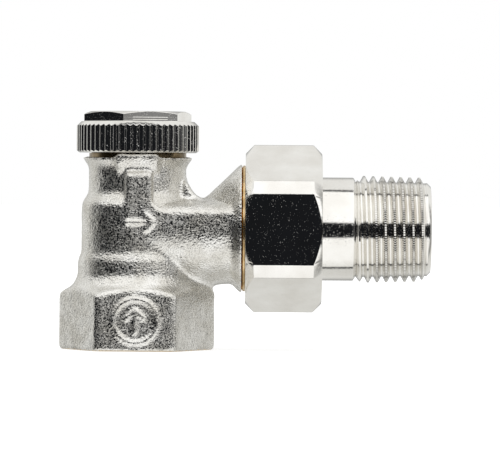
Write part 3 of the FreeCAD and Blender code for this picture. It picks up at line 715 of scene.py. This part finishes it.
body_shape = casting()
place_piece(body_shape, "housing", [cast_nickel(), brass], "valve_body")
for face in body_shape.data.polygons:
    middle = face.center / MM
    if middle.z < 0.12 or in_bore(middle) or middle.x > FLANGE_FACE - 0.1:
        face.material_index = 1
# The neck sleeve's darker brass is painted shade for its slot under the cap.
place_piece(neck_sleeve(), "housing", [brass_painted_shade])
place_piece(union_sleeve(), "housing", [brass])
place_piece(socket_sleeve(), "housing", [brass])
place_piece(screw_cap(), "cap", [nickel_on_z], "screw_cap")
place_piece(union_nut(), "nut", [nickel_on_x], "union_nut")
place_piece(tail(), "tail", [nickel_on_tail], "tailpiece")

for node in ("bonnet_insert", "shutoff_spindle", "shutoff_cone", "presetting_screw",
             "throttle_plug"):
    repaint(node, brass)
for node in ("bonnet_o_ring", "spindle_o_ring_lower", "spindle_o_ring_upper", "presetting_o_ring",
             "tail_o_ring", "seat_seal", "cap_gasket"):
    repaint(node, rubber)
repaint("spindle_retaining_ring", spring_steel())


# ---------------------------------------------------------------- studio

def tent_panels(nodes, pitch):
    """Colour of the tent's cloth, from behind round below, the front and above to behind again."""
    return nodes.ramp(nodes.span(pitch, 0, 1, -math.pi, math.pi), [
        (0.0, (0.86, 0.86, 0.84)), (0.23, (0.76, 0.76, 0.74)), (0.24, (0.95, 0.95, 0.93)),
        (0.30, (1.15, 1.15, 1.14)), (0.76, (1.3, 1.3, 1.3)), (0.77, (0.97, 0.97, 0.96)),
        (1.0, (0.9, 0.9, 0.88)),
    ])


def tent_gaps(nodes, azimuth, pitch, rise, right):
    """How dark the tent is by direction: its gaps in front, overhead, behind and at the sides."""
    def fade(angle, start, end, low, high):
        return nodes.span(angle, low, high, math.radians(start), math.radians(end))

    def off(angle, middle):
        return nodes.calc("ABSOLUTE", nodes.calc("SUBTRACT", angle, math.radians(middle)))

    to_side = nodes.calc("ABSOLUTE", azimuth)
    reach = fade(azimuth, -50, 50, math.radians(28), math.radians(10))
    level = fade(nodes.calc("SUBTRACT", rise, reach), -2, 2, 1, 0)
    left_edge = fade(azimuth, -106, -98, 0, 1)
    right_edge = fade(azimuth, 92, 98, 1, 0)
    front = nodes.calc("MULTIPLY", level, nodes.calc("MULTIPLY", left_edge, right_edge))
    strip = fade(off(azimuth, 31), 3, 6, 0.78, 1)
    front = nodes.calc("MULTIPLY", front, strip)
    seam = fade(off(nodes.calc("ABSOLUTE", pitch), 97), 1.5, 5, 0.9, 0)
    middle = nodes.span(nodes.calc("ABSOLUTE", right), 1, 0, 0.25, 0.4)
    seam = nodes.calc("MULTIPLY", seam, middle)
    behind = nodes.calc("MULTIPLY", fade(to_side, 157, 172, 0, 0.55), fade(rise, 18, 40, 1, 0))
    side = nodes.calc("MULTIPLY", fade(off(to_side, 102), 3, 12, 0.6, 0), fade(rise, 24, 38, 1, 0))
    gap = nodes.calc("MAXIMUM", front, nodes.calc("MAXIMUM", seam, behind))
    return nodes.calc("MAXIMUM", gap, side)


def studio_light():
    """A light tent: bright above, softer below, and a dark gap in front where the camera stands."""
    world = bpy.data.worlds.new("light_tent")
    bpy.context.scene.world = world
    world.use_nodes = True
    nodes = Nodes(world.node_tree)
    split = nodes.add("ShaderNodeSeparateXYZ")
    nodes.join(nodes.add("ShaderNodeTexCoord").outputs["Generated"], split.inputs["Vector"])
    right, back, up = (split.outputs[name] for name in "XYZ")
    front = nodes.calc("MULTIPLY", back, -1.0)
    azimuth = nodes.calc("ARCTAN2", right, front)
    pitch = nodes.calc("ARCTAN2", up, front)
    rise = nodes.calc("ABSOLUTE", nodes.calc("ADD", nodes.calc("ARCSINE", up), math.radians(2)))
    mix = nodes.add("ShaderNodeMix", data_type="RGBA")
    nodes.join(tent_gaps(nodes, azimuth, pitch, rise, right), mix.inputs["Factor"])
    nodes.join(tent_panels(nodes, pitch), mix.inputs["A"])
    mix.inputs["B"].default_value = (0.01, 0.011, 0.013, 1)
    tent = nodes.add("ShaderNodeBackground")
    nodes.join(mix.outputs["Result"], tent.inputs["Color"])
    plain = nodes.add("ShaderNodeBackground")  # what the camera itself sees behind the floor
    plain.inputs["Color"].default_value = (1, 1, 1, 1)
    seen = nodes.add("ShaderNodeMixShader")
    nodes.join(nodes.add("ShaderNodeLightPath").outputs["Is Camera Ray"], seen.inputs["Fac"])
    nodes.join(tent.outputs["Background"], seen.inputs[1])
    nodes.join(plain.outputs["Background"], seen.inputs[2])
    nodes.join(seen.outputs["Shader"], nodes.add("ShaderNodeOutputWorld").inputs["Surface"])


def pale_floor():
    """A wide white table top, kept out of the metal's reflections like a glass stand."""
    material, nodes, shader, place = start_material("pale_floor", 0.0)
    paper = nodes.noise(place, scale=40, detail=3)
    colour = nodes.ramp(paper, [(0.3, (0.44, 0.44, 0.44)), (0.7, (0.46, 0.46, 0.46))])
    nodes.join(colour, shader.inputs["Base Color"])
    shader.inputs["Emission Color"].default_value = (1, 1, 1, 1)
    shader.inputs["Emission Strength"].default_value = 0.7
    nodes.join(nodes.span(paper, 0.7, 0.85), shader.inputs["Roughness"])
    shader.inputs["Specular IOR Level"].default_value = 0.1
    mesh = bpy.data.meshes.new("floor")
    work = bmesh.new()
    bmesh.ops.create_circle(work, cap_ends=True, segments=96, radius=4.0)
    bmesh.ops.translate(work, verts=work.verts, vec=(0, 0, -0.0001))
    work.to_mesh(mesh)
    work.free()
    mesh.materials.append(material)
    floor = bpy.data.objects.new("floor", mesh)
    bpy.context.scene.collection.objects.link(floor)
    floor.visible_glossy = False


def overhead_lamp():
    """A large soft lamp that lights the floor; it doesn't show in the metal."""
    lamp = bpy.data.lights.new("overhead", "AREA")
    lamp.shape = "DISK"
    lamp.size = 1.2
    lamp.energy = 9.0
    shape = bpy.data.objects.new("overhead", lamp)
    shape.location = (0.0, -0.3, 1.3)
    shape.rotation_euler = (math.radians(13), 0, 0)
    shape.visible_glossy = False
    bpy.context.scene.collection.objects.link(shape)


def camera():
    """The photograph's view: level with the top of the valve, long lens, rolled very slightly."""
    low, high = (Vector(corner) for corner in cad_bounds)
    off_centre = Vector((0.0011, 0, 0.0012))
    aim = (low + high) / 2 + off_centre
    distance, raised, view_width = 0.900, 0.010, 0.099
    roll = math.radians(0.4)
    lens = bpy.data.cameras.new("camera")
    lens.sensor_width = 36
    lens.lens = lens.sensor_width * distance / view_width
    lens.clip_start = 0.01
    shape = bpy.data.objects.new("camera", lens)
    bpy.context.scene.collection.objects.link(shape)
    shape.location = aim + Vector((0, -distance, raised))
    look = (aim - shape.location).to_track_quat("-Z", "Y")
    shape.rotation_euler = (look @ Quaternion((0, 0, 1), roll)).to_euler()
    bpy.context.scene.camera = shape


studio_light()
pale_floor()
overhead_lamp()
camera()
bpy.context.scene.view_settings.view_transform = "Standard"
